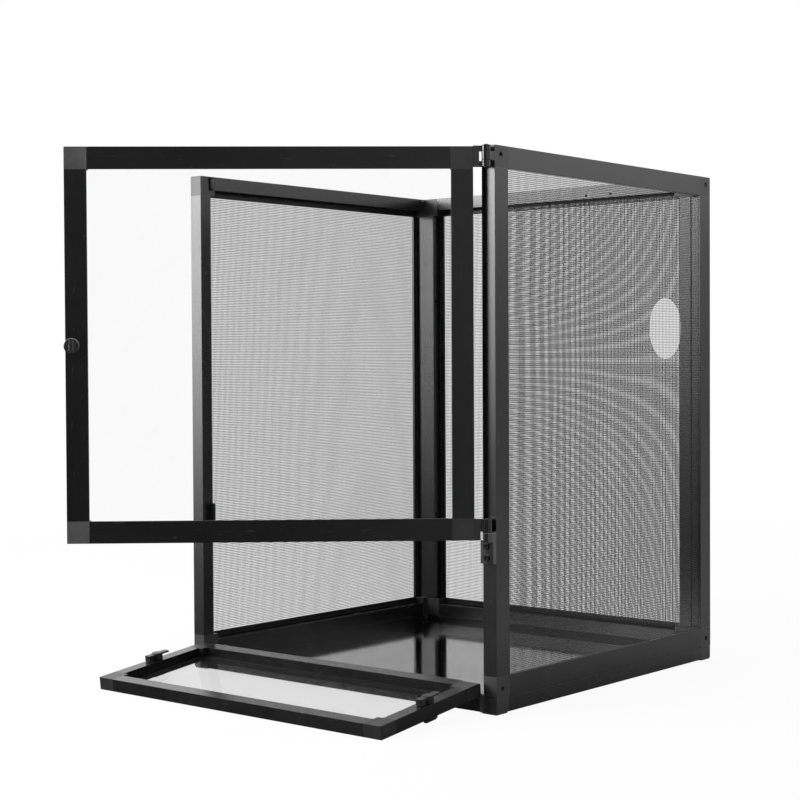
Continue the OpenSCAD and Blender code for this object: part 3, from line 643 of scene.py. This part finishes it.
def plain_mesh(name, tree, values):
    """Runs a tree with these inputs and returns its result as a plain mesh."""
    carrier = bpy.data.objects.new(name + "_carrier", bpy.data.meshes.new(name + "_carrier"))
    bpy.context.scene.collection.objects.link(carrier)
    modifier = carrier.modifiers.new("tree", "NODES")
    modifier.node_group = tree
    for item in tree.interface.items_tree:
        if item.in_out == "INPUT":
            modifier[item.identifier] = values[item.name]
    carrier.update_tag()
    graph = bpy.context.evaluated_depsgraph_get()
    mesh = bpy.data.meshes.new_from_object(carrier.evaluated_get(graph))
    carrier.modifiers.clear()
    bpy.data.objects.remove(carrier)
    return mesh


def weave(node_name, seed):
    low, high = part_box(node_name)
    size = high - low
    sideways = size.x < size.y
    width = size.y if sideways else size.x
    with_port = node_name == "right_mesh"
    centre = port_centre - low if with_port else size * 0.5
    mesh = plain_mesh(node_name, woven, {
        "Width": width,
        "Height": size.z,
        "Thickness": min(size.x, size.y),
        "Notch": notch,
        "Pitch": WIRE_PITCH,
        "Warp Radius": WARP_RADIUS,
        "Weft Radius": WEFT_RADIUS,
        "Port Radius": port["dims"]["r_mm"] * MM if with_port else 0.0,
        "Port X": centre.y if sideways else centre.x,
        "Port Z": centre.z,
        "Uneven": UNEVEN,
        "Wander": SHEET_WANDER[node_name],
        "Seed": seed,
        "Finish": wire_coat,
    })
    turn = Matrix.Rotation(math.pi / 2, 4, "Z") if sideways else Matrix.Identity(4)
    middle = (low + high) * 0.5
    start = Vector((middle.x, low.y, low.z)) if sideways else Vector((low.x, middle.y, low.z))
    mesh.transform(Matrix.Translation(start) @ turn)
    woven_panel = bpy.data.objects.new(node_name + "_wires", mesh)
    bpy.context.scene.collection.objects.link(woven_panel)
    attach(woven_panel, "cage")
    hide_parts(node_name)
    print(node_name, "faces", len(mesh.polygons))


for seed, name in enumerate(SHEET_WANDER, 1):
    weave(name, seed)

# %% [markdown]
# ## Floor, light and camera
# The cage stands on a plain pale floor under soft light. To the camera the floor is partly
# a matt surface and partly plain white, and the white gains with distance, so the contact
# shadow stays and no horizon shows. To a glossy surface the floor is darker, and darkest
# towards the front, so the rails keep their black undersides.
#
# The world is white to the camera and softer as a light. It dims towards the front, which
# keeps the faces on that side black, and towards the rear right, most near the horizon.
# Its ceiling is brighter in gloss, which draws the light line along the top rails.
#
# Six soft boxes do the rest. Four at the front left give the posts their long highlights,
# one at the rear right lifts the far side, and one hangs overhead.

# %% Floor
FLOOR_SIZE = 30.0
FLOOR_GREY = (0.82, 0.82, 0.82)
REARWARD = (0.66, 0.75, 0.0)


def pale_floor():
    material, maker = new_material("pale_floor")
    seen = maker.node("ShaderNodeLightPath", out="Is Camera Ray")
    mirrored = maker.node("ShaderNodeLightPath", out="Is Glossy Ray")
    point = object_point(maker)
    away = vector_maths(maker, "LENGTH", point, out="Value")
    far = spread(maker, away, 0.7, 2.5, 0.93, 1.0, SMOOTH)
    shade = spread(maker, dot(maker, point, REARWARD), -0.5, 0.6, 0.1, 0.7, SMOOTH)
    grey_shade = maker.node("ShaderNodeCombineXYZ", None, {0: shade, 1: shade, 2: shade})
    tone = blend_colours(maker, mirrored, FLOOR_GREY, grey_shade)
    white = maker.node("ShaderNodeEmission", None, {"Color": (1, 1, 1, 1), "Strength": 1.0})
    matt = maker.node("ShaderNodeBsdfPrincipled", None,
                      {"Base Color": tone, "Roughness": 1.0, "Specular IOR Level": 0.0})
    both = maker.node("ShaderNodeMixShader", None, {0: seen * far, 1: matt, 2: white})
    maker.node("ShaderNodeOutputMaterial", None, {"Surface": both})
    return material


bpy.ops.mesh.primitive_plane_add(size=FLOOR_SIZE, location=(0, 0, table_z))
floor = bpy.context.object
floor.name = "floor"
floor.data.materials.append(pale_floor())
print("floor", FLOOR_SIZE, "m wide")

# %% World
SOFT_LIGHT = 0.7
FRONT = (0.17, -0.985, 0.0)
REAR_RIGHT = (0.64, 0.77, 0.0)

world = bpy.data.worlds.new("studio")
bpy.context.scene.world = world
world.use_nodes = True
world.node_tree.nodes.clear()
sky = NodeMaker(world.node_tree)
seen = sky.node("ShaderNodeLightPath", out="Is Camera Ray")
glossy = sky.node("ShaderNodeLightPath", out="Is Glossy Ray")
through = sky.node("ShaderNodeLightPath", out="Is Transmission Ray")
heading = sky.node("ShaderNodeTexCoord", out="Generated")
height = sky.node("ShaderNodeSeparateXYZ", None, {0: heading}, "Z")
front_dim = spread(sky, dot(sky, heading, FRONT), 0.60, 0.90, 0.0, 0.85, SMOOTH)
rear_dim = spread(sky, dot(sky, heading, REAR_RIGHT), 0.2, 0.9, 0.0, 0.4, SMOOTH)
rear_share = spread(sky, height, 0.05, 0.13, 1.0, 0.4, SMOOTH)
ceiling = spread(sky, height, 0.2, 0.36, 0.0, 1.2, SMOOTH)
white = (seen + through).at_most(1.0)
level = glossy * (1.0 + ceiling) + (1.0 - glossy) * SOFT_LIGHT
strength = white + (1.0 - white) * level * (1.0 - front_dim - rear_dim * rear_share)
glow = sky.node("ShaderNodeBackground", None, {"Color": (1, 1, 1, 1), "Strength": strength})
sky.node("ShaderNodeOutputWorld", None, {"Surface": glow})
print("world strength", SOFT_LIGHT)

# %% Lamps
def soft_box(name, place, target, width, height, watts):
    lamp = bpy.data.lights.new(name, "AREA")
    lamp.shape = "RECTANGLE"
    lamp.size, lamp.size_y = width, height
    lamp.energy = watts
    holder = bpy.data.objects.new(name, lamp)
    holder.location = place
    holder.rotation_euler = (Vector(target) - Vector(place)).to_track_quat("-Z", "Y").to_euler()
    bpy.context.scene.collection.objects.link(holder)
    return holder


# name, place, target, width, height, watts
SOFT_BOXES = (
    ("front_left_box", (-1.65, -2.15, 1.28), (0.0, 0.0, 1.2), 1.3, 1.0, 75),
    ("front_left_middle_box", (-1.65, -2.15, 0.6), (0.0, 0.0, 0.6), 1.3, 0.36, 13),
    ("front_left_low_box", (-1.65, -2.15, 0.3), (0.0, 0.0, 0.3), 1.3, 0.24, 3),
    ("left_low_box", (-2.3, -1.75, 0.35), (0.0, 0.0, 0.35), 0.7, 0.7, 8),
    ("rear_right_box", (1.95, 1.95, 1.3), (0.2, 0.0, 1.2), 1.4, 1.1, 4),
    ("top_box", (0.0, -0.3, 2.6), (0.0, 0.0, 0.3), 2.0, 2.0, 14),
)
for box in SOFT_BOXES:
    soft_box(*box)
print("soft boxes", len(SOFT_BOXES))

# %% Camera
CAMERA_PLACE = (1.2941, -1.6412, 0.3700 + table_z)
CAMERA_TURN = math.radians(40.06)
CAMERA_DIP = math.radians(1.31)
CAMERA_ROLL = math.radians(-0.29)
SENSOR_WIDTH_MM = 36.0
LENS_MM = 77.04
camera = bpy.data.objects.new("camera", bpy.data.cameras.new("camera"))
camera.data.sensor_width = SENSOR_WIDTH_MM
camera.data.lens = LENS_MM
camera.data.clip_end = 100.0
camera.location = CAMERA_PLACE
facing = Matrix.Rotation(CAMERA_TURN, 3, "Z") @ Matrix.Rotation(math.pi / 2 - CAMERA_DIP, 3, "X")
camera.rotation_euler = (facing @ Matrix.Rotation(CAMERA_ROLL, 3, "Z")).to_euler()
bpy.context.scene.collection.objects.link(camera)
bpy.context.scene.camera = camera
bpy.context.scene.view_settings.view_transform = "Standard"
print("camera at", [round(c, 3) for c in camera.location])

# %% The end
print("done")
